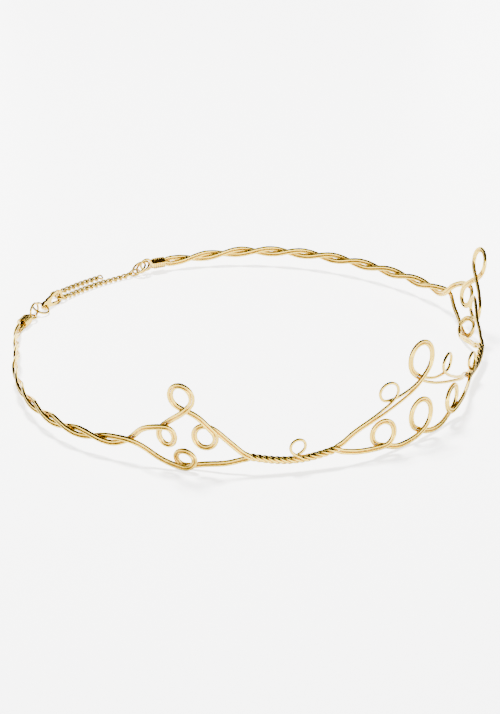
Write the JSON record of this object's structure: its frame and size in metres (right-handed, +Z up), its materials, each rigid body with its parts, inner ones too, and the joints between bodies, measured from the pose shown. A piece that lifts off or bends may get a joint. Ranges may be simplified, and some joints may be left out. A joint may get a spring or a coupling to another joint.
{
  "type": "circlet",
  "caption": "Open wire circlet: twisted gold wires rise into loops at the front and sides, and a fine chain with a clasp closes it at the back.",
  "frame": {"origin": "centre of the ring on the surface that it rests on", "axes": "+Z up, -Y towards the front ornament, +X towards the wearer's left hand side panel, the chain at +Y"},
  "size_m": [0.189, 0.1917, 0.0403],
  "materials": {
    "wire_gold": "polished pale gold plate",
    "fitting_gold": "polished pale gold plate",
    "chain_gold": "polished pale gold plate"
  },
  "bodies": {
    "circlet": {"upper_wire_looped": "wire_gold", "upper_wire_curled": "wire_gold", "lower_wire_inner": "wire_gold", "lower_wire_outer": "wire_gold", "right_end_eye": "fitting_gold", "left_end_eye": "fitting_gold", "front_jump_ring": "fitting_gold", "rear_jump_ring": "fitting_gold", "chain": "chain_gold", "clasp_body": "fitting_gold", "large_ring": "fitting_gold", "small_ring": "fitting_gold"},
    "lever": {"clasp_lever": "fitting_gold"}
  },
  "joints": [
    {"name": "clasp_lever_hinge", "type": "hinge", "parent": "circlet", "child": "lever", "pos_m": [-0.01811, 0.09024, 0.0039], "axis": [-0.1679, 0.9858, 0], "range_deg": [0, 14], "stiffness_Nm_per_rad": 0.01, "springref_deg": -11.46}
  ]
}
